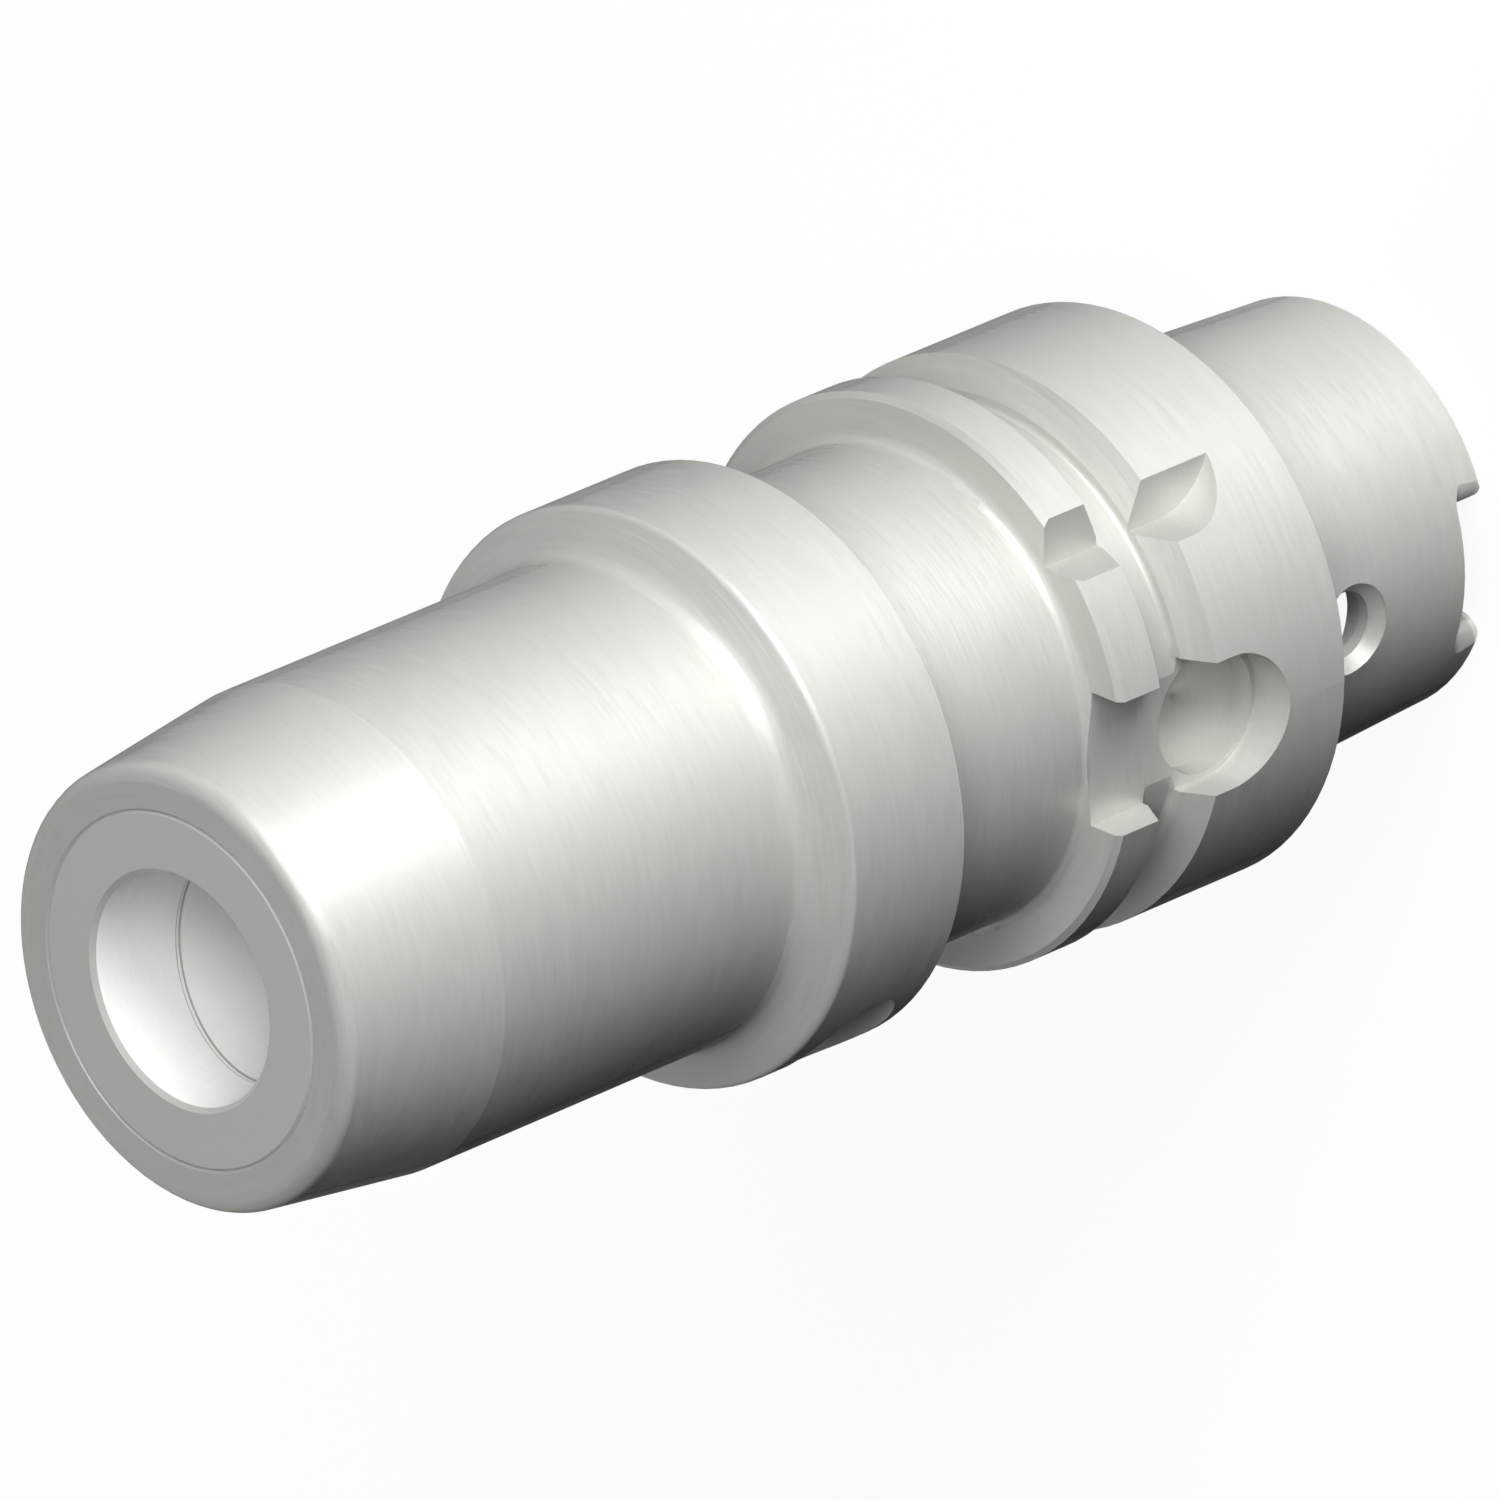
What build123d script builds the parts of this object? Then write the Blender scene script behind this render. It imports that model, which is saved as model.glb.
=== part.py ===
from build123d import *
import os
from math import atan2, cos, degrees, hypot, radians, sin, sqrt, tan

# Hydraulic expansion chuck, hollow taper shank size 50, for 20 mm tool shanks.
# Z is the spindle axis with the nose up, Z = 0 is the flange's contact face,
# and +X runs through the middle of the 12 mm drive slot.

# Taper shank
shank_length = 25.0
taper_gauge_z = -5.0
taper_gauge_d = 38.009
taper_ratio = 9.98
rim_chamfer = 0.4
mouth_d = 29.0
mouth_angle = 30.0
entry_d = 26.0
recess_d = 32.0
clamp_flank_z = -14.13
clamp_flank_angle = 30.0
cavity_floor_z = 2.0
cavity_corner_r = 1.5
keyway_width = 10.54
keyway_depth = 3.6
keyway_root_r = 1.2
keyway_lug_r = 2.0
cross_hole_z = -7.5
cross_hole_d = 6.0
cross_hole_sink_d = 8.0
corner_relief_width = 0.8
corner_relief_depth = 0.3

# Flange
flange_d = 50.0
flange_width = 26.0
flange_rear_chamfer = 0.2
flange_front_chamfer = 0.5
groove_centre_z = 18.0
groove_channel = 3.75
groove_floor_d = 43.0
groove_wall_d = 44.8
groove_flank_angle = 60.0
groove_root_r = 0.4

# Drive slots, chip hole and orientation notch
slot_cutter_z = 12.63
slot_width = 12.0
slot_floor = 21.0
deep_slot_width = 14.0
deep_slot_floor = 15.5
notch_corner = 15.45
notch_cutter_r = 6.0
chip_hole_d = 11.0
chip_hole_depth = 2.05
chip_hole_point = 140.0

# Neck, collar, clamping barrel and nose
neck_d = 41.8
neck_root_r = 1.0
collar_d = 50.0
collar_rear_z = 44.8
collar_rear_chamfer = 0.2
collar_front_z = 57.85
collar_front_r = 0.7
collar_face_tilt = 23.0
collar_root_r = 2.2
barrel_d = 42.0
nose_z = 110.0
nose_cone_z = 93.8
nose_cone_angle = 7.0
nose_r = 1.5

# Tool bore and expansion sleeve
bore_d = 20.0
sleeve_d = 30.5
sleeve_length = 50.0
seam_chamfer = 0.2
bore_chamfer = 0.4
dirt_groove_start_z = 64.5
dirt_groove_pitch = 10.2
dirt_groove_turns = 4.25
dirt_groove_width = 0.45
dirt_groove_depth = 0.12
chamber_wall = 1.9
chamber_length = 14.0
chamber_rear_z = 66.0
chamber_gap = 8.0
link_slot_width = 3.0
link_slot_depth = 1.2
link_slot_count = 4
run_out_d = 20.5
run_out_depth = 2.5

# Stop screw and coolant way
stop_thread_d = 9.0
stop_thread_z = 40.0
coolant_way_d = 8.4
coolant_thread_d = 14.92
coolant_thread_depth = 11.0
thread_chamfer = 0.8
stop_length = 13.4
stop_head_d = 13.0
stop_head_length = 2.3
stop_head_gap = 0.1
stop_socket = 5.0
stop_socket_depth = 4.5
stop_coolant_d = 3.0

# Clamping drive: screw, piston and oil way, on a line parallel to Y
drive_x = 16.35
drive_z = 50.6
screw_hole_d = 9.0
piston_hole_d = 8.6
drill_point = 118.0
piston_hole_mouth = 1.7
piston_hole_end = 8.0
screw_length = 6.5
screw_socket = 5.0
screw_socket_depth = 4.0
screw_chamfer = 0.6
piston_front = -0.5
piston_land_length = 3.0
piston_length = 7.5
piston_stem_d = 6.8
seal_width = 1.2
seal_setback = 0.7
seal_groove_d = 6.4
oil_way_x = 12.3
oil_way_y = 6.7
oil_way_d = 1.6
running_gap = 0.04

# Bleed screw and its ball, in the collar near the side of the deep drive slot
bleed_angle = 215.0
bleed_thread_d = 4.2
bleed_seat_r = 17.5
ball_d = 4.0
bleed_screw_length = 2.6
bleed_socket = 2.0
bleed_socket_depth = 1.6

overlap = 1.0
flange_r = flange_d / 2
taper_slope = 1 / taper_ratio / 2
shank_r = taper_gauge_d / 2 - taper_slope * taper_gauge_z
shank_rim_r = shank_r - taper_slope * shank_length
neck_r = neck_d / 2
barrel_r = barrel_d / 2
bore_r = bore_d / 2
sleeve_r = sleeve_d / 2
sleeve_rear_z = nose_z - sleeve_length
bore_end_z = sleeve_rear_z - run_out_depth
bleed = radians(bleed_angle)
bleed_plane = Plane(
    origin=(0, 0, drive_z),
    x_dir=(-sin(bleed), cos(bleed), 0),
    z_dir=(cos(bleed), sin(bleed), 0),
)
oil_way_r = hypot(oil_way_x, oil_way_y)
oil_ways = [(oil_way_x, oil_way_y), (oil_way_r * cos(bleed), oil_way_r * sin(bleed))]


def hexagon(across_flats):
    """Corner radius of a hexagon: r = s / sqrt(3)."""
    return across_flats / sqrt(3)


# Cutter for both keyways in the shank's rim: it opens out round the lugs, over a rounded floor
keyway_y = keyway_width / 2
keyway_floor_z = -shank_length + keyway_depth
lug_r = shank_r + taper_slope * keyway_floor_z
lug_y = keyway_y + keyway_lug_r
lug_x = sqrt((lug_r - keyway_lug_r) ** 2 - lug_y**2)
lug_angle = degrees(atan2(lug_y, lug_x))
with BuildPart() as keyway_cutter:
    with BuildSketch(Plane.XY.offset(-shank_length - overlap)):
        with BuildLine():
            Line((0, keyway_y), (lug_x, keyway_y))
            lug_corner = CenterArc((lug_x, lug_y), keyway_lug_r, -90, 90 + lug_angle)
            way_out = PolarLine(lug_corner @ 1, 2 * keyway_lug_r, direction=lug_corner % 1)
            side = Line(way_out @ 1, (flange_r, (way_out @ 1).Y))
            Line(side @ 1, (flange_r, 0))
            mirror(about=Plane.XZ)
            mirror(about=Plane.YZ)
        make_face()
    extrude(amount=keyway_depth + overlap)
    fillet(keyway_cutter.edges().group_by(Axis.Z)[-1], keyway_root_r)

# Outside profile of the body, from the shank's rim to the nose face
flank_run = (flange_r - groove_wall_d / 2) * tan(radians(90 - groove_flank_angle))
groove_rear_z = groove_centre_z - groove_channel / 2
groove_front_z = groove_centre_z + groove_channel / 2
relief_r = shank_r + corner_relief_width
face_slope = tan(radians(collar_face_tilt))
face_top_r = collar_d / 2
face_root_z = collar_front_z + (face_top_r - barrel_r) * face_slope
cone_drop = (nose_z - nose_cone_z) * tan(radians(nose_cone_angle))

with BuildPart() as chuck_body:
    with BuildSketch(Plane.XZ) as outside:
        with BuildLine():
            Polyline(
                (0, -shank_length),
                (shank_rim_r, -shank_length),
                (shank_r, 0),
                (shank_r, corner_relief_depth),
                (relief_r, corner_relief_depth),
                (relief_r, 0),
                (flange_r, 0),
                (flange_r, groove_rear_z - flank_run),
                (groove_wall_d / 2, groove_rear_z),
                (groove_floor_d / 2, groove_rear_z),
                (groove_floor_d / 2, groove_front_z),
                (groove_wall_d / 2, groove_front_z),
                (flange_r, groove_front_z + flank_run),
                (flange_r, flange_width),
                (neck_r, flange_width),
                (neck_r, collar_rear_z),
                (collar_d / 2, collar_rear_z),
                (collar_d / 2, collar_front_z),
                (barrel_r, face_root_z),
                (barrel_r, nose_cone_z),
                (barrel_r - cone_drop, nose_z),
                (0, nose_z),
                close=True,
            )
        make_face()

        def corner(r, z):
            return outside.vertices().sort_by_distance((r, z))[0]

        chamfer(corner(shank_rim_r, -shank_length), rim_chamfer)
        chamfer(corner(flange_r, 0), flange_rear_chamfer)
        fillet(corner(groove_floor_d / 2, groove_rear_z), groove_root_r)
        fillet(corner(groove_floor_d / 2, groove_front_z), groove_root_r)
        chamfer(corner(flange_r, flange_width), flange_front_chamfer)
        fillet(corner(neck_r, flange_width), neck_root_r)
        chamfer(corner(collar_d / 2, collar_rear_z), collar_rear_chamfer)
        fillet(corner(collar_d / 2, collar_front_z), collar_front_r)
        fillet(corner(barrel_r, face_root_z), collar_root_r)
        fillet(corner(barrel_r - cone_drop, nose_z), nose_r)
    revolve(axis=Axis.Z)

    # Hollow of the shank: mouth, entry bore, 30 degree clamping flank and recess
    with BuildSketch(Plane.XZ) as hollow:
        mouth_run = (mouth_d - entry_d) / 2 / tan(radians(mouth_angle))
        flank_length = (recess_d - entry_d) / 2 / tan(radians(clamp_flank_angle))
        with BuildLine():
            Polyline(
                (0, -shank_length),
                (mouth_d / 2, -shank_length),
                (entry_d / 2, -shank_length + mouth_run),
                (entry_d / 2, clamp_flank_z),
                (recess_d / 2, clamp_flank_z + flank_length),
                (recess_d / 2, cavity_floor_z),
                (0, cavity_floor_z),
                close=True,
            )
        make_face()
        inner_corner = hollow.vertices().sort_by_distance((recess_d / 2, cavity_floor_z))[0]
        fillet(inner_corner, cavity_corner_r)
    revolve(axis=Axis.Z, mode=Mode.SUBTRACT)

    # Coolant thread, coolant way, stop screw thread and the seat of the sleeve
    thread_end_z = cavity_floor_z + coolant_thread_depth
    thread_r = coolant_thread_d / 2
    way_r = coolant_way_d / 2
    with BuildSketch(Plane.XZ):
        with BuildLine():
            Polyline(
                (0, cavity_floor_z),
                (thread_r + thread_chamfer, cavity_floor_z),
                (thread_r, cavity_floor_z + thread_chamfer),
                (thread_r, thread_end_z),
                (way_r, thread_end_z + (thread_r - way_r) / tan(radians(drill_point / 2))),
                (way_r, stop_thread_z),
                (stop_thread_d / 2, stop_thread_z),
                (stop_thread_d / 2, bore_end_z),
                (run_out_d / 2, bore_end_z),
                (run_out_d / 2, sleeve_rear_z),
                (sleeve_r, sleeve_rear_z),
                (sleeve_r, nose_z - seam_chamfer),
                (sleeve_r + seam_chamfer, nose_z),
                (0, nose_z),
                close=True,
            )
        make_face()
    revolve(axis=Axis.Z, mode=Mode.SUBTRACT)

    # Drive slots through the ring and the groove, with round ends in the rear flange
    slot_top = flange_width + neck_root_r + overlap
    with BuildSketch(Plane.YZ.offset(slot_floor)):
        with Locations((0, slot_cutter_z)):
            Circle(slot_width / 2)
        with Locations((0, (slot_cutter_z + slot_top) / 2)):
            Rectangle(slot_width, slot_top - slot_cutter_z)
    extrude(amount=flange_r - slot_floor + overlap, mode=Mode.SUBTRACT)
    deep_r = deep_slot_width / 2
    deep_slot_z = slot_cutter_z - slot_width / 2 + deep_r
    with BuildSketch(Plane.YZ.offset(-flange_r - overlap)):
        with Locations((0, deep_slot_z), (0, flange_width)):
            Circle(deep_r)
        with Locations((0, (deep_slot_z + flange_width) / 2)):
            Rectangle(deep_slot_width, flange_width - deep_slot_z)
    extrude(amount=flange_r - deep_slot_floor + overlap, mode=Mode.SUBTRACT)

    # Data chip hole in the floor of the 12 mm slot, left empty
    with BuildSketch(Plane((0, 0, slot_cutter_z))):
        point_depth = chip_hole_d / 2 / tan(radians(chip_hole_point / 2))
        with BuildLine():
            Polyline(
                (slot_floor + overlap, 0),
                (slot_floor + overlap, chip_hole_d / 2),
                (slot_floor - chip_hole_depth, chip_hole_d / 2),
                (slot_floor - chip_hole_depth - point_depth, 0),
                close=True,
            )
        make_face()
    revolve(axis=Axis((0, 0, slot_cutter_z), (1, 0, 0)), mode=Mode.SUBTRACT)

    # Orientation notch at 45 degrees: the end mill's face leaves the floor, its side the wall
    notch_y = notch_corner + notch_cutter_r
    with BuildSketch(Plane.YZ.offset(notch_corner)):
        with Locations((notch_y, slot_cutter_z)):
            Circle(notch_cutter_r)
        with Locations((notch_y, (slot_cutter_z + slot_top) / 2)):
            Rectangle(2 * notch_cutter_r, slot_top - slot_cutter_z)
    extrude(amount=flange_r - notch_corner, mode=Mode.SUBTRACT)

    # Keyways in the rim, and the countersunk cross holes
    add(keyway_cutter.part, mode=Mode.SUBTRACT)
    with BuildSketch(Plane.YZ.offset(-flange_r)):
        with Locations((0, cross_hole_z)):
            Circle(cross_hole_d / 2)
    extrude(amount=2 * flange_r, mode=Mode.SUBTRACT)
    sink_r = cross_hole_sink_d / 2
    cross_r = shank_r + taper_slope * cross_hole_z
    sink_start = sqrt(cross_r**2 - sink_r**2)
    for way in (-1, 1):
        with BuildSketch(Plane((0, 0, cross_hole_z))):
            with BuildLine():
                Polyline(
                    (way * (sink_start - sink_r), 0),
                    (way * sink_start, sink_r),
                    (way * (cross_r + overlap), sink_r),
                    (way * (cross_r + overlap), 0),
                    close=True,
                )
            make_face()
        revolve(axis=Axis((0, 0, cross_hole_z), (1, 0, 0)), mode=Mode.SUBTRACT)

    # Screw and piston hole across the collar, blind, with a drill point
    with BuildSketch(Plane((drive_x, 0, drive_z))):
        piston_r = piston_hole_d / 2
        hole_point = piston_r / tan(radians(drill_point / 2))
        with BuildLine():
            Polyline(
                (0, -collar_d / 2),
                (screw_hole_d / 2, -collar_d / 2),
                (screw_hole_d / 2, -piston_hole_mouth),
                (piston_r, -piston_hole_mouth),
                (piston_r, piston_hole_end),
                (0, piston_hole_end + hole_point),
                close=True,
            )
        make_face()
    revolve(axis=Axis((drive_x, 0, drive_z), (0, 1, 0)), mode=Mode.SUBTRACT)

    # Oil ways up to the sleeve, from the piston hole and from the bleed hole
    with BuildSketch(Plane.XY.offset(drive_z)):
        with Locations(*oil_ways):
            Circle(oil_way_d / 2)
    extrude(amount=sleeve_rear_z - drive_z, mode=Mode.SUBTRACT)

    # Bleed hole: thread and ball seat, with a fine way on to the oil way
    with BuildSketch(bleed_plane.offset(bleed_seat_r)):
        Circle(bleed_thread_d / 2)
    extrude(amount=collar_d / 2 - bleed_seat_r + overlap, mode=Mode.SUBTRACT)
    with BuildSketch(bleed_plane.offset(oil_way_r)):
        Circle(oil_way_d / 2)
    extrude(amount=bleed_seat_r - oil_way_r + overlap, mode=Mode.SUBTRACT)
chuck_body.part.label = "chuck_body"

# Expansion sleeve: thin walls over two outer oil chambers, joined by short axial slots
chamber_r = bore_r + chamber_wall
chamber_front_z = chamber_rear_z + chamber_length + chamber_gap
with BuildPart() as expansion_sleeve:
    with BuildSketch(Plane.XZ):
        with BuildLine():
            Polyline(
                (bore_r, sleeve_rear_z),
                (sleeve_r, sleeve_rear_z),
                (sleeve_r, chamber_rear_z),
                (chamber_r, chamber_rear_z),
                (chamber_r, chamber_rear_z + chamber_length),
                (sleeve_r, chamber_rear_z + chamber_length),
                (sleeve_r, chamber_front_z),
                (chamber_r, chamber_front_z),
                (chamber_r, chamber_front_z + chamber_length),
                (sleeve_r, chamber_front_z + chamber_length),
                (sleeve_r, nose_z - seam_chamfer),
                (sleeve_r - seam_chamfer, nose_z),
                (bore_r + bore_chamfer, nose_z),
                (bore_r, nose_z - bore_chamfer),
                close=True,
            )
        make_face()
    revolve(axis=Axis.Z)
    with BuildSketch(Plane.XY.offset(chamber_rear_z + chamber_length)):
        with PolarLocations(sleeve_r, link_slot_count, start_angle=45):
            Rectangle(2 * link_slot_depth, link_slot_width)
    extrude(amount=chamber_gap, mode=Mode.SUBTRACT)
    with BuildSketch(Plane.XY.offset(sleeve_rear_z)):
        with Locations(*oil_ways):
            Circle(oil_way_d / 2)
    extrude(amount=chamber_rear_z - sleeve_rear_z, mode=Mode.SUBTRACT)

    # Helical groove in the bore, which takes up dirt and oil
    groove_height = dirt_groove_turns * dirt_groove_pitch
    with BuildLine():
        groove_path = Helix(dirt_groove_pitch, groove_height, bore_r, center=(0, 0, dirt_groove_start_z))
    with BuildSketch(Plane(origin=groove_path @ 0, x_dir=(1, 0, 0), z_dir=groove_path % 0)):
        Rectangle(2 * dirt_groove_depth, dirt_groove_width)
    sweep(path=groove_path, is_frenet=True, mode=Mode.SUBTRACT)
expansion_sleeve.part.label = "expansion_sleeve"

# Stop screw: hollow, with a seat disc for the tool and a hexagon socket at the rear
stop_head_z = bore_end_z + stop_head_gap
with BuildPart() as stop_screw:
    with BuildSketch(Plane.XY.offset(stop_head_z - stop_length)):
        Circle(stop_thread_d / 2 - running_gap)
    extrude(amount=stop_length)
    with BuildSketch(Plane.XY.offset(stop_head_z)):
        Circle(stop_head_d / 2)
    extrude(amount=stop_head_length)
    chamfer(stop_screw.edges().group_by(Axis.Z)[0], screw_chamfer)
    chamfer(stop_screw.edges().group_by(Axis.Z)[-1], screw_chamfer / 2)
    with BuildSketch(Plane.XY.offset(stop_head_z - stop_length)):
        RegularPolygon(hexagon(stop_socket), 6)
    extrude(amount=stop_socket_depth, mode=Mode.SUBTRACT)
    with BuildSketch(Plane.XY.offset(stop_head_z - stop_length)):
        Circle(stop_coolant_d / 2)
    extrude(amount=stop_length + stop_head_length, mode=Mode.SUBTRACT)
stop_screw.part.label = "stop_screw"

# Clamping screw, against the back of the piston when released
drive_plane = Plane(origin=(drive_x, 0, drive_z), x_dir=(1, 0, 0), z_dir=(0, -1, 0))
piston_back = piston_front + piston_length
with BuildPart() as clamping_screw:
    with BuildSketch(drive_plane.offset(piston_back)):
        Circle(screw_hole_d / 2 - running_gap)
    extrude(amount=screw_length)
    chamfer(clamping_screw.edges().filter_by(GeomType.CIRCLE), screw_chamfer)
    with BuildSketch(drive_plane.offset(piston_back + screw_length - screw_socket_depth)):
        RegularPolygon(hexagon(screw_socket), 6)
    extrude(amount=screw_socket_depth, mode=Mode.SUBTRACT)
clamping_screw.part.label = "clamping_screw"

# Piston with its seal groove, and the stem that the screw pushes
seal_start = piston_front + seal_setback
with BuildPart() as clamping_piston:
    with BuildSketch(drive_plane.offset(piston_front)):
        Circle(piston_hole_d / 2 - running_gap)
    extrude(amount=piston_land_length)
    with BuildSketch(drive_plane.offset(piston_front)):
        Circle(piston_stem_d / 2)
    extrude(amount=piston_length)
    with BuildSketch(drive_plane.offset(seal_start)):
        Circle(piston_hole_d / 2)
        Circle(seal_groove_d / 2, mode=Mode.SUBTRACT)
    extrude(amount=seal_width, mode=Mode.SUBTRACT)
clamping_piston.part.label = "clamping_piston"

with BuildPart() as piston_seal:
    with BuildSketch(drive_plane.offset(seal_start)):
        Circle(piston_hole_d / 2 - running_gap / 2)
        Circle(seal_groove_d / 2, mode=Mode.SUBTRACT)
    extrude(amount=seal_width)
piston_seal.part.label = "piston_seal"

# Ball on its seat and the grub screw that holds it
ball_centre_r = bleed_seat_r + sqrt((ball_d / 2) ** 2 - (oil_way_d / 2) ** 2)
with BuildPart() as sealing_ball:
    with Locations(bleed_plane.offset(ball_centre_r)):
        Sphere(ball_d / 2)
sealing_ball.part.label = "sealing_ball"

with BuildPart() as bleed_screw:
    with BuildSketch(bleed_plane.offset(ball_centre_r + ball_d / 2)):
        Circle(bleed_thread_d / 2)
    extrude(amount=bleed_screw_length)
    with BuildSketch(bleed_plane.offset(ball_centre_r + ball_d / 2 + bleed_screw_length)):
        RegularPolygon(hexagon(bleed_socket), 6)
    extrude(amount=-bleed_socket_depth, mode=Mode.SUBTRACT)
bleed_screw.part.label = "bleed_screw"

os.makedirs("parts", exist_ok=True)
export_step(chuck_body.part, "parts/chuck_body.step")
export_step(expansion_sleeve.part, "parts/expansion_sleeve.step")
export_step(stop_screw.part, "parts/stop_screw.step")
export_step(clamping_screw.part, "parts/clamping_screw.step")
export_step(clamping_piston.part, "parts/clamping_piston.step")
export_step(piston_seal.part, "parts/piston_seal.step")
export_step(bleed_screw.part, "parts/bleed_screw.step")
export_step(sealing_ball.part, "parts/sealing_ball.step")
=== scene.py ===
from math import cos, pi, radians, sin

import bpy
import numpy as np
from mathutils import Matrix, Vector


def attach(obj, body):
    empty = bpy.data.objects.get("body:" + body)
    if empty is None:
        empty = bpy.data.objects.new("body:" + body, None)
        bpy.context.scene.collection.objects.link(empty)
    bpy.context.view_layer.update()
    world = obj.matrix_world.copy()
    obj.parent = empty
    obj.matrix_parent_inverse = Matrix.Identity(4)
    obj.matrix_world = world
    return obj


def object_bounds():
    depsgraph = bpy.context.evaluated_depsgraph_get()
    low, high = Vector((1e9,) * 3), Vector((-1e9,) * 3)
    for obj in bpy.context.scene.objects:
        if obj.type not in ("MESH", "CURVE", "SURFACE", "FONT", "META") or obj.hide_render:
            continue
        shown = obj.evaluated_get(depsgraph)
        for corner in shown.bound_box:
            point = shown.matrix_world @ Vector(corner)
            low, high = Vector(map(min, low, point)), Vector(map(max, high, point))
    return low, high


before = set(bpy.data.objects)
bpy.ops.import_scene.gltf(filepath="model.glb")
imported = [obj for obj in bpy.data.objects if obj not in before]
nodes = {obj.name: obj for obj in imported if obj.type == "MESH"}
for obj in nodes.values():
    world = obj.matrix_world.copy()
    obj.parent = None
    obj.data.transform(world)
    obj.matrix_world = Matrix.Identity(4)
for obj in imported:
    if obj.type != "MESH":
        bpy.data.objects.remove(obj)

cad_box = [list(corner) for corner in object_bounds()]
mm = 0.001

# Camera: the photograph's view, nearly parallel, 40 degrees above the flange and rolled so
# that the nose points to the lower left. Its place follows from the angle of the spindle axis
# in the picture, the tilt of that axis towards the camera and the turn of the drive slot.
focal_px = 33448.83
image_px = 1500
sensor_mm = 36.0
axis_angle = 0.3999087
axis_tilt = 0.7036914
slot_turn = radians(236.6)
face_centre = Vector((31.239524, -13.204476, 2767.634053)) * mm
clip_near = 0.5
clip_far = 12.0

spindle = Vector((-cos(axis_angle) * cos(axis_tilt), sin(axis_angle) * cos(axis_tilt),
                  -sin(axis_tilt)))
level = Vector((-spindle.y, spindle.x, 0)).normalized()
across = spindle.cross(level)
slot_x = cos(slot_turn) * level + sin(slot_turn) * across
slot_y = -sin(slot_turn) * level + cos(slot_turn) * across
to_object = Matrix((slot_x, slot_y, spindle))
camera_data = bpy.data.cameras.new("photo_camera")
camera_data.sensor_width = sensor_mm
camera_data.lens = sensor_mm * focal_px / image_px
camera_data.clip_start = clip_near
camera_data.clip_end = clip_far
camera = bpy.data.objects.new("photo_camera", camera_data)
bpy.context.scene.collection.objects.link(camera)
image_axes = to_object @ Matrix(((1, 0, 0), (0, -1, 0), (0, 0, -1)))
camera.matrix_world = Matrix.Translation(-(to_object @ face_centre)) @ image_axes.to_4x4()
bpy.context.scene.camera = camera
bpy.context.scene.view_settings.view_transform = "Standard"

# Floor: a plain white studio cove under the rim of the shank, a flat sheet that bends up at
# its far edge. The camera and the steel see it white, it keeps the chuck's soft shadow,
# and it throws little light back up at the steel.
floor_z = cad_box[0][2]
cove_radius = 3.9
cove_bend = 0.25
cove_height = 0.45
cove_inner = 0.5
cove_sides = 96
bend_steps = 13
white_share = 0.93
floor_bounce = 0.05
floor_seen = 0.85


def add_node(tree, kind, *inputs, **settings):
    """A new shader node: settings are its properties, and each input is a value, a socket or
    None."""
    made = tree.nodes.new("ShaderNode" + kind)
    for name, value in settings.items():
        setattr(made, name, value)
    for socket, value in zip(made.inputs, inputs):
        if isinstance(value, bpy.types.NodeSocket):
            tree.links.new(value, socket)
        elif value is not None:
            socket.default_value = value
    return made


def add_math(tree, operation, *inputs):
    """The result of one Math node."""
    return add_node(tree, "Math", *inputs, operation=operation).outputs[0]


def new_material(name):
    """An empty node material: the material, its node tree and its surface socket."""
    material = bpy.data.materials.new(name)
    material.use_nodes = True
    tree = material.node_tree
    tree.nodes.clear()
    return material, tree, add_node(tree, "OutputMaterial").inputs["Surface"]


def grid_mesh(name, points, first_end=True):
    """A mesh over a grid of points: rows are joined in order, each row joins its end to its
    start, and one flat face fills the last row and, where it is closed too, the first."""
    rows, columns = points.shape[:2]
    index = np.arange(rows * columns).reshape(rows, columns)
    after = np.roll(index, -1, axis=1)
    quads = np.stack([index[:-1], after[:-1], after[1:], index[1:]], axis=-1)
    faces = quads.reshape(-1, 4).tolist()
    faces.append(index[-1].tolist())
    if first_end:
        faces.append(index[0, ::-1].tolist())
    mesh = bpy.data.meshes.new(name)
    mesh.from_pydata(points.reshape(-1, 3).tolist(), [], faces)
    return mesh


def show(name, mesh, material):
    """A new object of a mesh with one material, linked to the scene."""
    made = bpy.data.objects.new(name, mesh)
    mesh.materials.append(material)
    bpy.context.scene.collection.objects.link(made)
    return made


def turned_surface(profile, sides):
    """Points of a profile of (radius, height) turned about Z: (r cos t, r sin t, z)."""
    turn = np.linspace(0, 2 * pi, sides, endpoint=False)
    radius, height = profile[:, :1], profile[:, 1:]
    return np.stack([radius * np.cos(turn), radius * np.sin(turn), height + 0 * turn], axis=-1)


floor_white, tree, surface = new_material("floor_white")
ray = add_node(tree, "LightPath").outputs
seen = add_math(tree, "MAXIMUM", ray["Is Camera Ray"], ray["Is Glossy Ray"])
seen = add_math(tree, "MAXIMUM", seen, ray["Is Transmission Ray"])
sheet_grey = add_math(tree, "MULTIPLY_ADD", ray["Is Camera Ray"], floor_seen - floor_bounce,
                      floor_bounce)
sheet = add_node(tree, "BsdfDiffuse", sheet_grey).outputs[0]
glow = add_node(tree, "Emission", (1, 1, 1, 1), 1.0).outputs[0]
share = add_math(tree, "MULTIPLY", seen, white_share)
tree.links.new(add_node(tree, "MixShader", share, sheet, glow).outputs[0], surface)

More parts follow.
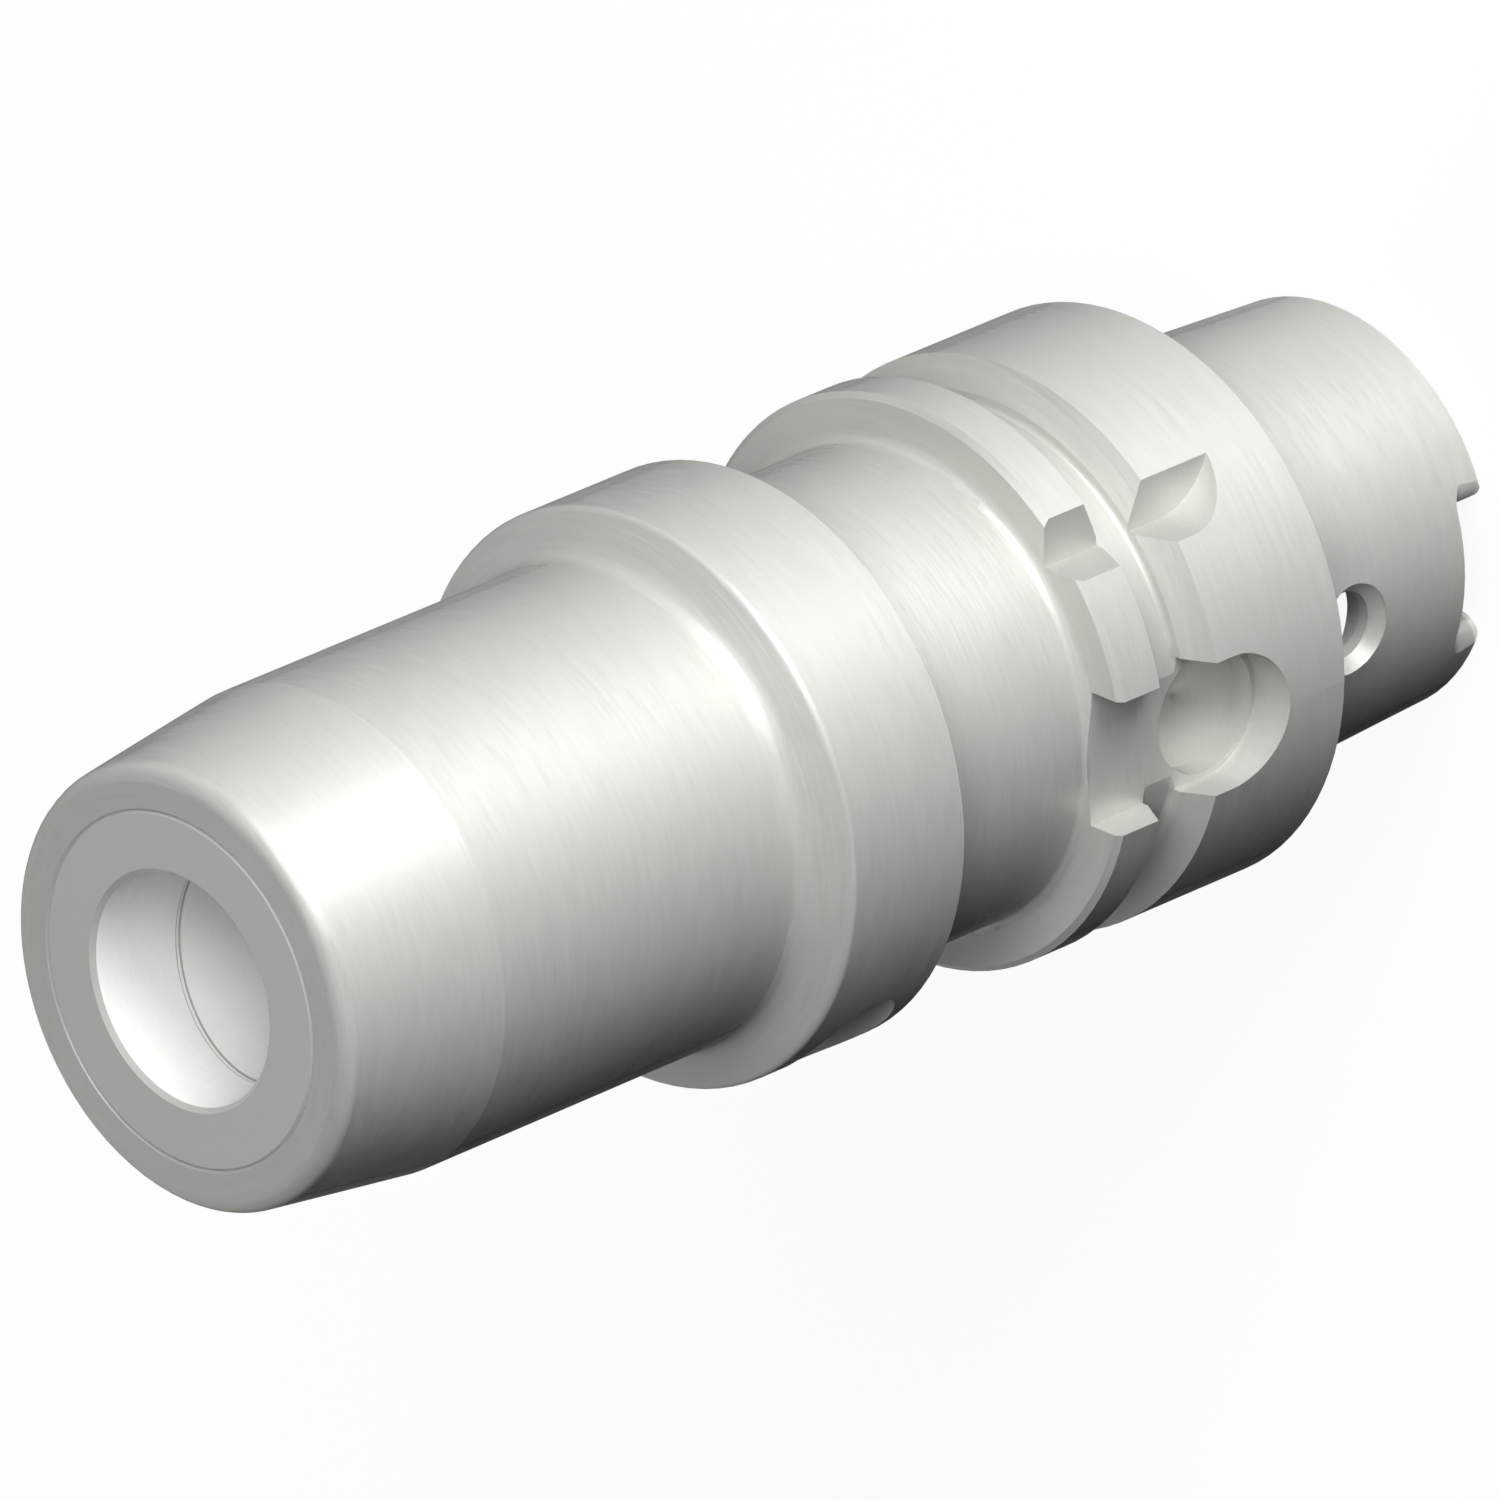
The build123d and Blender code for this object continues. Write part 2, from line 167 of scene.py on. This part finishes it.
bend = np.linspace(pi / 2, 0, bend_steps)
bend_radius = cove_radius - cove_bend + cove_bend * np.sin(bend)
bend_height = cove_bend - cove_bend * np.cos(bend)
cove_profile = np.concatenate([
    [[cove_radius, cove_height]],
    np.stack([bend_radius, bend_height], axis=1),
    [[cove_inner, 0]],
]) + [0, floor_z]
cove_mesh = grid_mesh("cove", turned_surface(cove_profile, cove_sides), first_end=False)
cove = show("cove", cove_mesh, floor_white)

# Shade card: a dark disc that lies on the floor round the chuck, as is laid beside bright
# metal in a studio. It is clear towards the lamps and black on the side away from them, so
# that the steel mirrors a gradient instead of one white floor. Only reflections show it, so
# it is painted shade in the steel's reflections: camera, diffuse light and shadows pass it.
card_radius = 2.5
card_lift = 0.5 * mm
card_sides = 64
card_towards = radians(72)
card_clear = 0.9
card_power = 3.0

mirrored_shade_black, tree, surface = new_material("mirrored_shade_black")
place = add_node(tree, "SeparateXYZ", add_node(tree, "TexCoord").outputs["Object"]).outputs
azimuth = add_math(tree, "ARCTAN2", place["Y"], place["X"])
facing = add_math(tree, "COSINE", add_math(tree, "SUBTRACT", azimuth, card_towards))
clear = add_node(tree, "MapRange", facing, -1.0, card_clear, 0.0, 1.0).outputs[0]
clear = add_math(tree, "POWER", clear, card_power)
# Painted shade: the black half of the card, seen only in the steel's reflections
black = add_node(tree, "BsdfDiffuse", (0, 0, 0, 1)).outputs[0]
nothing = add_node(tree, "BsdfTransparent").outputs[0]
tree.links.new(add_node(tree, "MixShader", clear, black, nothing).outputs[0], surface)

card_rim = np.array([[card_radius, floor_z + card_lift]])
card_mesh = grid_mesh("shade_card", turned_surface(card_rim, card_sides), first_end=False)
card = show("shade_card", card_mesh, mirrored_shade_black)
card.visible_camera = False
card.visible_diffuse = False
card.visible_transmission = False
card.visible_shadow = False

# Light: two large softboxes on the camera's side, one low for the sides of the chuck and one
# high for its nose and its bore, and a third low one behind it. The room is faint and even,
# and the camera sees it white, while the steel mirrors it dark.
room_level = 0.015
room_mirrored = 0.04
room_seen = 0.96
lamp_distance = 1.2
lamp_size = 0.7
# Where each lamp stands: its azimuth and its elevation in degrees
low_from = (62, 8)
high_from = (50, 45)
back_from = (220, 10)
low_watts = 15.0
high_watts = 13.2
back_watts = 16.0

world = bpy.data.worlds.new("room")
bpy.context.scene.world = world
world.use_nodes = True
room = world.node_tree
ray = add_node(room, "LightPath").outputs
shown = add_math(room, "MAXIMUM", ray["Is Camera Ray"], ray["Is Transmission Ray"])
level_here = add_math(room, "MULTIPLY_ADD", ray["Is Glossy Ray"], room_mirrored - room_level,
                      room_level)
level_here = add_math(room, "MULTIPLY_ADD", shown, room_seen, level_here)
room.nodes["Background"].inputs["Color"].default_value = (1, 1, 1, 1)
room.links.new(level_here, room.nodes["Background"].inputs["Strength"])


def softbox(name, stands, watts, mirrored=True):
    """A square area lamp that looks at the middle of the chuck from where it stands. One that
    isn't mirrored lights the steel without a highlight."""
    data = bpy.data.lights.new(name, "AREA")
    data.shape = "SQUARE"
    data.size = lamp_size
    data.energy = watts
    lamp = bpy.data.objects.new(name, data)
    bpy.context.scene.collection.objects.link(lamp)
    turn, rise = radians(stands[0]), radians(stands[1])
    middle = Vector((0, 0, (cad_box[0][2] + cad_box[1][2]) / 2))
    way = Vector((cos(turn) * cos(rise), sin(turn) * cos(rise), sin(rise)))
    lamp.location = middle + way * lamp_distance
    lamp.rotation_mode = "QUATERNION"
    lamp.rotation_quaternion = way.to_track_quat("Z", "Y")
    lamp.visible_glossy = mirrored


softbox("low_light", low_from, low_watts)
softbox("high_light", high_from, high_watts, mirrored=False)
softbox("back_light", back_from, back_watts, mirrored=False)

# Chuck body: one piece of hardened steel. It is turned all over, with the drive slots, the
# notch and the keyways milled, and then the taper, the flange, the collar, the barrel and the
# nose are ground. The neck, the groove and the hollow shank keep their turning marks.
steel_light = (0.70, 0.707, 0.665, 1)
steel_dark = (0.635, 0.642, 0.603, 1)
# Painted shade: the darker colour inside the hollow shank
steel_inside_shade = (0.50, 0.51, 0.47, 1)
body_metallic = 0.5
body_roughness = 0.5
body_anisotropy = 0.5
grazing_tint = (0, 0, 0, 1)
grazing_level = 0.3
marks_per_metre = 2600
marks_round = 5.0
marks_detail = 3.0
marks_grain = 0.6
marks_depth = 0.03 * mm
mottle_per_metre = 70
mottle_detail = 2.0
mottle_grain = 0.5
streak_from, streak_to = 0.3, 0.7
streak_gloss = 0.16
patch_share = 0.35
patch_gloss = 0.10
inside_shade_share = 0.6
quarter_turn = 0.25
shank_end_z = cad_box[0][2]
nose_end_z = cad_box[1][2]
# Depth of the marks from here upwards: taper, flange, groove, ring, neck, collar, its
# front face, barrel and nose
mark_zones = [(-25.0, 0.30), (0.0, 0.40), (15.0, 0.75), (21.0, 0.40), (26.1, 1.00), (44.7, 0.35),
              (57.9, 0.80), (60.0, 0.30), (93.8, 0.40)]
hollow_radius = 16.5 * mm
hollow_top_z = 14.0 * mm
seam_reach = radians(6.5)
seam_error = radians(5)
ring_top_z = 26.1 * mm


def blend_colour(tree, factor, first, second):
    """Two colours mixed by a factor from 0 to 1."""
    mix = add_node(tree, "Mix", data_type="RGBA")
    sockets = (mix.inputs[0], mix.inputs[6], mix.inputs[7])
    for socket, value in zip(sockets, (factor, first, second)):
        if isinstance(value, bpy.types.NodeSocket):
            tree.links.new(value, socket)
        else:
            socket.default_value = value
    return mix.outputs[2]


def own_axis(tree, point=(0, 0, 0), direction=(0, 0, 1)):
    """Object coordinates, moved and turned so that the piece's own axis is Z: q (p - point)."""
    turn = Vector(direction).rotation_difference(Vector((0, 0, 1)))
    back = -(turn @ Vector(point))
    coordinates = add_node(tree, "TexCoord").outputs["Object"]
    return add_node(tree, "Mapping", coordinates, back, Vector(turn.to_euler())).outputs[0]


def around_axis(tree, place):
    """Distance from the axis, height along it, and the unit vector away from it."""
    split = add_node(tree, "SeparateXYZ", place).outputs
    flat = add_node(tree, "CombineXYZ", split["X"], split["Y"]).outputs[0]
    radius = add_node(tree, "VectorMath", flat, operation="LENGTH").outputs["Value"]
    outward = add_node(tree, "VectorMath", flat, operation="NORMALIZE").outputs[0]
    return radius, split["Z"], outward


def lay_marks(tree, radius, height, outward, per_metre, arcs, detail):
    """Marks of turning or grinding, from 0 to 1: noise that changes fast with the radius and the
    height and slowly round the axis, so that it runs in long rings."""
    each = (arcs, arcs, arcs)
    ring = add_node(tree, "VectorMath", outward, each, operation="MULTIPLY").outputs[0]
    fine = add_node(tree, "CombineXYZ", add_math(tree, "MULTIPLY", radius, per_metre), 0.0,
                    add_math(tree, "MULTIPLY", height, per_metre)).outputs[0]
    where = add_node(tree, "VectorMath", ring, fine, operation="ADD").outputs[0]
    return add_node(tree, "TexNoise", where, None, 1.0, detail, marks_grain).outputs["Fac"]


def mottle(tree, per_metre):
    """Soft even patches, from 0 to 1, as handling and oil leave them on bare metal."""
    coordinates = add_node(tree, "TexCoord").outputs["Object"]
    noise = add_node(tree, "TexNoise", coordinates, None, per_metre, mottle_detail, mottle_grain)
    return noise.outputs["Fac"]


def swing(tree, value, middle, amount):
    """A value that swings about a middle with a pattern from 0 to 1: middle + (v - 1/2) amount."""
    return add_math(tree, "MULTIPLY_ADD", value, amount, middle - amount / 2)


def bumped(tree, height, depth, normal=None):
    """The normal of a surface with a relief of the given depth in metres."""
    relief = add_node(tree, "Bump")
    relief.inputs["Distance"].default_value = depth
    tree.links.new(height, relief.inputs["Height"])
    if normal is not None:
        tree.links.new(normal, relief.inputs["Normal"])
    return relief.outputs[0]


def seamless(tree, outward, height):
    """The normal n, made true beside the seam of the turned faces at azimuth 0, where the facets
    on its two sides lean apart: (n . r) r + (n . z) z, normalised. Slots and holes keep theirs."""
    plain = add_node(tree, "NewGeometry").outputs["Normal"]
    away = add_node(tree, "VectorMath", plain, outward, operation="DOT_PRODUCT").outputs["Value"]
    out = add_node(tree, "SeparateXYZ", outward).outputs
    rise = add_node(tree, "SeparateXYZ", plain).outputs["Z"]
    true = add_node(tree, "CombineXYZ", add_math(tree, "MULTIPLY", away, out["X"]),
                    add_math(tree, "MULTIPLY", away, out["Y"]), rise).outputs[0]
    true = add_node(tree, "VectorMath", true, operation="NORMALIZE").outputs[0]
    same = add_node(tree, "VectorMath", true, plain, operation="DOT_PRODUCT").outputs["Value"]
    beside = add_math(tree, "MULTIPLY", add_math(tree, "GREATER_THAN", out["X"], cos(seam_reach)),
                      add_math(tree, "GREATER_THAN", same, cos(seam_error)))
    unslotted = add_math(tree, "MAXIMUM", add_math(tree, "LESS_THAN", height, 0.0),
                         add_math(tree, "GREATER_THAN", height, ring_top_z))
    return blend_colour(tree, add_math(tree, "MULTIPLY", beside, unslotted), plain, true)


def finish(tree, surface, metallic, colour, roughness, normal, anisotropy=0.0, bright_limb=True):
    """The finish of a piece on its material's output. The gloss is stretched along the axis,
    across the marks, where it has anisotropy. Without a bright limb the steel reflects little
    at grazing angles, so that its outline stands clear of the white floor."""
    shader = add_node(tree, "BsdfPrincipled")
    shader.inputs["Metallic"].default_value = metallic
    if not bright_limb:
        shader.inputs["Specular Tint"].default_value = grazing_tint
        shader.inputs["Specular IOR Level"].default_value = grazing_level
    for name, value in (("Base Color", colour), ("Roughness", roughness), ("Normal", normal)):
        if isinstance(value, bpy.types.NodeSocket):
            tree.links.new(value, shader.inputs[name])
        elif value is not None:
            shader.inputs[name].default_value = value
    if anisotropy > 0:
        shader.inputs["Anisotropic"].default_value = anisotropy
        shader.inputs["Anisotropic Rotation"].default_value = quarter_turn
        rings = add_node(tree, "Tangent", direction_type="RADIAL", axis="Z").outputs[0]
        tree.links.new(rings, shader.inputs["Tangent"])
    tree.links.new(shader.outputs[0], surface)


def dress(name, material):
    """A CAD piece takes the material in all its slots."""
    for slot in nodes[name].material_slots:
        slot.material = material


body_steel, tree, surface = new_material("body_steel")
radius, height, outward = around_axis(tree, own_axis(tree))
marks = lay_marks(tree, radius, height, outward, marks_per_metre, marks_round, marks_detail)
patches = mottle(tree, mottle_per_metre)
along = add_node(tree, "MapRange", height, shank_end_z, nose_end_z, 0.0, 1.0).outputs[0]
zones = add_node(tree, "ValToRGB", along)
zones.color_ramp.interpolation = "CONSTANT"
ready_stops = len(zones.color_ramp.elements)
for zone, (start, depth) in enumerate(mark_zones):
    share = (start * mm - shank_end_z) / (nose_end_z - shank_end_z)
    if zone < ready_stops:
        stop = zones.color_ramp.elements[zone]
        stop.position = share
    else:
        stop = zones.color_ramp.elements.new(share)
    stop.color = (depth, depth, depth, 1)
inside = add_math(tree, "LESS_THAN", radius, hollow_radius)
inside = add_math(tree, "MULTIPLY", inside, add_math(tree, "LESS_THAN", height, hollow_top_z))
coarse = add_math(tree, "MAXIMUM", zones.outputs["Color"], inside)
streaks = add_node(tree, "MapRange", marks, streak_from, streak_to, 0.0, 1.0).outputs[0]
colour = blend_colour(tree, streaks, steel_dark, steel_light)
colour = blend_colour(tree, add_math(tree, "MULTIPLY", patches, patch_share), colour, steel_dark)
# Painted shade: the inside of the hollow shank takes a darker colour than the rest of the steel
colour = blend_colour(tree, add_math(tree, "MULTIPLY", inside, inside_shade_share), colour, steel_inside_shade)
roughness = swing(tree, streaks, body_roughness, streak_gloss)
roughness = add_math(tree, "ADD", roughness, swing(tree, patches, 0.0, patch_gloss))
relief = bumped(tree, add_math(tree, "MULTIPLY", marks, coarse), marks_depth,
                seamless(tree, outward, height))
finish(tree, surface, body_metallic, colour, roughness, relief, body_anisotropy, bright_limb=False)
dress("chuck_body", body_steel)

# Coolant thread: the fine thread at the floor of the hollow shank, which takes the coolant
# tube. It is cut in the body with a tap, and shows as a helical ridge on the wall of the hole.
thread_wall = 7.46 * mm
thread_sunk = 0.06 * mm
thread_height = 0.32 * mm
thread_root = 0.84 * mm
thread_crest = 0.14 * mm
thread_pitch = 1.0 * mm
thread_from_z = 3.2 * mm
thread_to_z = 12.4 * mm
thread_steps = 72
thread_run_out = 0.5
thread_least = 0.02


def thread_ridge(wall, sunk, depth, root, crest, pitch, start, end, steps, run_out, least):
    """A helical ridge on the wall of a hole. Along the helix z rises by the pitch in each turn;
    across it the section is a blunt tooth of four corners that points at the axis, and it grows
    from next to nothing and back over the run-out at each end."""
    turns = (end - start) / pitch
    t = np.linspace(0, turns, int(turns * steps) + 1)[:, None]
    grown = np.clip(np.minimum(t, turns - t) / run_out, least, 1)
    up = np.array([[-root, -crest, crest, root]]) / 2
    inward = np.array([[-sunk, depth, depth, -sunk]])
    radius = wall - inward * np.where(inward > 0, grown, 1)
    z = start + pitch * t + up * grown
    angle = 2 * pi * t
    return np.stack([radius * np.cos(angle), radius * np.sin(angle), z], axis=-1)


thread_points = thread_ridge(thread_wall, thread_sunk, thread_height, thread_root, thread_crest,
                             thread_pitch, thread_from_z, thread_to_z, thread_steps,
                             thread_run_out, thread_least)
thread_mesh = grid_mesh("coolant_thread", thread_points)
coolant_thread = show("coolant_thread", thread_mesh, body_steel)
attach(coolant_thread, "chuck")

# Expansion sleeve: a thin-walled bush of hardened steel, soldered into the nose and ground
# level with it. Its bore is honed to size, and a fine helical groove runs round in it.
# The bore is honed, and its colours are painted far paler than steel: painted light on its walls
painted_bore_light = (0.95, 0.955, 0.925, 1)
painted_bore_dark = (0.86, 0.865, 0.84, 1)
groove_shade = (0.24, 0.24, 0.22, 1)
sleeve_metallic = 0.1
face_light = (0.463, 0.468, 0.440, 1)
face_dark = (0.425, 0.430, 0.404, 1)
sleeve_roughness = 0.42
honed_roughness = 0.34
sleeve_gloss = 0.12
sleeve_coarse = 0.3
bore_wall = 10.2 * mm
bore_mouth_z = 109.6 * mm
groove_from_z = 64.3 * mm
groove_to_z = 108.0 * mm
groove_start_z = 64.5 * mm
groove_pitch = 10.2 * mm
groove_width = 0.45 * mm
groove_edge = 0.07 * mm
groove_darkness = 0.75

sleeve_steel, tree, surface = new_material("sleeve_steel")
radius, height, outward = around_axis(tree, own_axis(tree))
marks = lay_marks(tree, radius, height, outward, marks_per_metre, marks_round, marks_detail)
patches = mottle(tree, mottle_per_metre)
honed = add_math(tree, "LESS_THAN", radius, bore_wall)
honed = add_math(tree, "MULTIPLY", honed, add_math(tree, "LESS_THAN", height, bore_mouth_z))
# How far a point is along Z from the middle of the groove, which climbs by its pitch in a turn:
# d = |frac((z - start) / pitch - angle / 2 pi + 1/2) - 1/2| pitch
way = add_node(tree, "SeparateXYZ", outward).outputs
turned = add_math(tree, "MULTIPLY", add_math(tree, "ARCTAN2", way["Y"], way["X"]), 1 / (2 * pi))
climbed = add_math(tree, "MULTIPLY_ADD", height, 1 / groove_pitch,
                   0.5 - groove_start_z / groove_pitch)
phase = add_math(tree, "FRACT", add_math(tree, "SUBTRACT", climbed, turned))
apart = add_math(tree, "ABSOLUTE", add_math(tree, "SUBTRACT", phase, 0.5))
apart = add_math(tree, "MULTIPLY", apart, groove_pitch)
from_edge = add_math(tree, "ABSOLUTE", add_math(tree, "SUBTRACT", apart, groove_width / 2))
grooved = add_math(tree, "LESS_THAN", from_edge, groove_edge)
grooved = add_math(tree, "MULTIPLY", grooved, add_math(tree, "GREATER_THAN", height, groove_from_z))
grooved = add_math(tree, "MULTIPLY", grooved, add_math(tree, "LESS_THAN", height, groove_to_z))
grooved = add_math(tree, "MULTIPLY", grooved, honed)
face = blend_colour(tree, marks, face_dark, face_light)
face = blend_colour(tree, add_math(tree, "MULTIPLY", patches, patch_share), face, face_dark)
bright = blend_colour(tree, marks, painted_bore_dark, painted_bore_light)
# Painted light: the bore's walls take the pale painted colours, and the face takes the steel's
colour = blend_colour(tree, honed, face, bright)
grooved = add_math(tree, "MULTIPLY", grooved, groove_darkness)
colour = blend_colour(tree, grooved, colour, groove_shade)
roughness = add_node(tree, "MapRange", honed, 0.0, 1.0, sleeve_roughness, honed_roughness)
roughness = add_math(tree, "ADD", roughness.outputs[0], swing(tree, marks, 0.0, sleeve_gloss))
relief = bumped(tree, add_math(tree, "MULTIPLY", marks, sleeve_coarse), marks_depth,
                seamless(tree, outward, height))
finish(tree, surface, sleeve_metallic, colour, roughness, relief, bright_limb=False)
dress("expansion_sleeve", sleeve_steel)

# Screws: the clamping screw, the bleed screw and the stop screw, of hardened steel turned and
# blackened in an oxide bath. The black is thin on the edges of their sockets, where keys go in.
oxide_black = (0.030, 0.030, 0.033, 1)
oxide_grey = (0.060, 0.060, 0.064, 1)
oxide_worn = (0.26, 0.26, 0.25, 1)
screw_metallic = 0.7
screw_roughness = 0.42
screw_gloss = 0.16
screw_marks_per_metre = 5200
edge_break = 0.22 * mm
edge_rays = 6
edge_from, edge_to = 0.995, 0.90
edge_worn = 0.7
drive_point = (16.35 * mm, 0, 50.6 * mm)
drive_way = (0, 1, 0)
bleed_turn = radians(215)
bleed_way = (cos(bleed_turn), sin(bleed_turn), 0)
bleed_point = (0, 0, 50.6 * mm)


def broken_edge(tree, width, rays):
    """The normal rounded over the edges, and how near an edge is, from 0 to 1."""
    rounded = add_node(tree, "Bevel", width, samples=rays).outputs[0]
    plain = add_node(tree, "NewGeometry").outputs["Normal"]
    same = add_node(tree, "VectorMath", rounded, plain, operation="DOT_PRODUCT").outputs["Value"]
    return rounded, add_node(tree, "MapRange", same, edge_from, edge_to, 0.0, 1.0).outputs[0]


def dress_screw(name, point, direction):
    """Black oxide over turning marks that follow the screw's own axis."""
    material, tree, surface = new_material(name + "_oxide")
    radius, height, outward = around_axis(tree, own_axis(tree, point, direction))
    marks = lay_marks(tree, radius, height, outward, screw_marks_per_metre, marks_round,
                      marks_detail)
    rounded, edge = broken_edge(tree, edge_break, edge_rays)
    colour = blend_colour(tree, marks, oxide_black, oxide_grey)
    colour = blend_colour(tree, add_math(tree, "MULTIPLY", edge, edge_worn), colour, oxide_worn)
    roughness = swing(tree, marks, screw_roughness, screw_gloss)
    relief = bumped(tree, marks, marks_depth, rounded)
    finish(tree, surface, screw_metallic, colour, roughness, relief)
    dress(name, material)


dress_screw("clamping_screw", drive_point, drive_way)
dress_screw("bleed_screw", bleed_point, bleed_way)
dress_screw("stop_screw", (0, 0, 0), (0, 0, 1))

# Piston: a ground steel pin in a bore that runs across the body beside the tool's. The
# clamping screw pushes it along that bore, and it presses the oil round the sleeve.
piston_light = (0.66, 0.66, 0.64, 1)
piston_dark = (0.55, 0.55, 0.53, 1)
piston_metallic = 0.9
piston_roughness = 0.28
piston_gloss = 0.12
piston_coarse = 0.4

piston_steel, tree, surface = new_material("piston_steel")
radius, height, outward = around_axis(tree, own_axis(tree, drive_point, drive_way))
marks = lay_marks(tree, radius, height, outward, screw_marks_per_metre, marks_round, marks_detail)
colour = blend_colour(tree, marks, piston_dark, piston_light)
roughness = swing(tree, marks, piston_roughness, piston_gloss)
relief = bumped(tree, add_math(tree, "MULTIPLY", marks, piston_coarse), marks_depth)
finish(tree, surface, piston_metallic, colour, roughness, relief)
dress("clamping_piston", piston_steel)

# Seal: a moulded ring of black nitrile rubber. It sits on the front of the piston, moves with
# it along the bore and is wet with oil.
rubber_black = (0.018, 0.018, 0.018, 1)
rubber_grey = (0.040, 0.040, 0.040, 1)
rubber_metallic = 0.0
rubber_roughness = 0.45
rubber_gloss = 0.2
rubber_grain_per_metre = 9000

seal_rubber, tree, surface = new_material("seal_rubber")
grain = mottle(tree, rubber_grain_per_metre)
colour = blend_colour(tree, grain, rubber_black, rubber_grey)
roughness = swing(tree, grain, rubber_roughness, rubber_gloss)
finish(tree, surface, rubber_metallic, colour, roughness, bumped(tree, grain, marks_depth))
dress("piston_seal", seal_rubber)

# Ball: a lapped ball of hardened bearing steel. The bleed screw presses it on the seat of the
# oil's filling hole, and it keeps the oil in.
ball_bright = (0.78, 0.78, 0.77, 1)
ball_haze = (0.70, 0.70, 0.69, 1)
ball_metallic = 1.0
ball_roughness = 0.12
ball_gloss = 0.06
ball_haze_per_metre = 1800

ball_steel, tree, surface = new_material("ball_steel")
haze = mottle(tree, ball_haze_per_metre)
colour = blend_colour(tree, haze, ball_haze, ball_bright)
roughness = swing(tree, haze, ball_roughness, ball_gloss)
finish(tree, surface, ball_metallic, colour, roughness, None)
dress("sealing_ball", ball_steel)
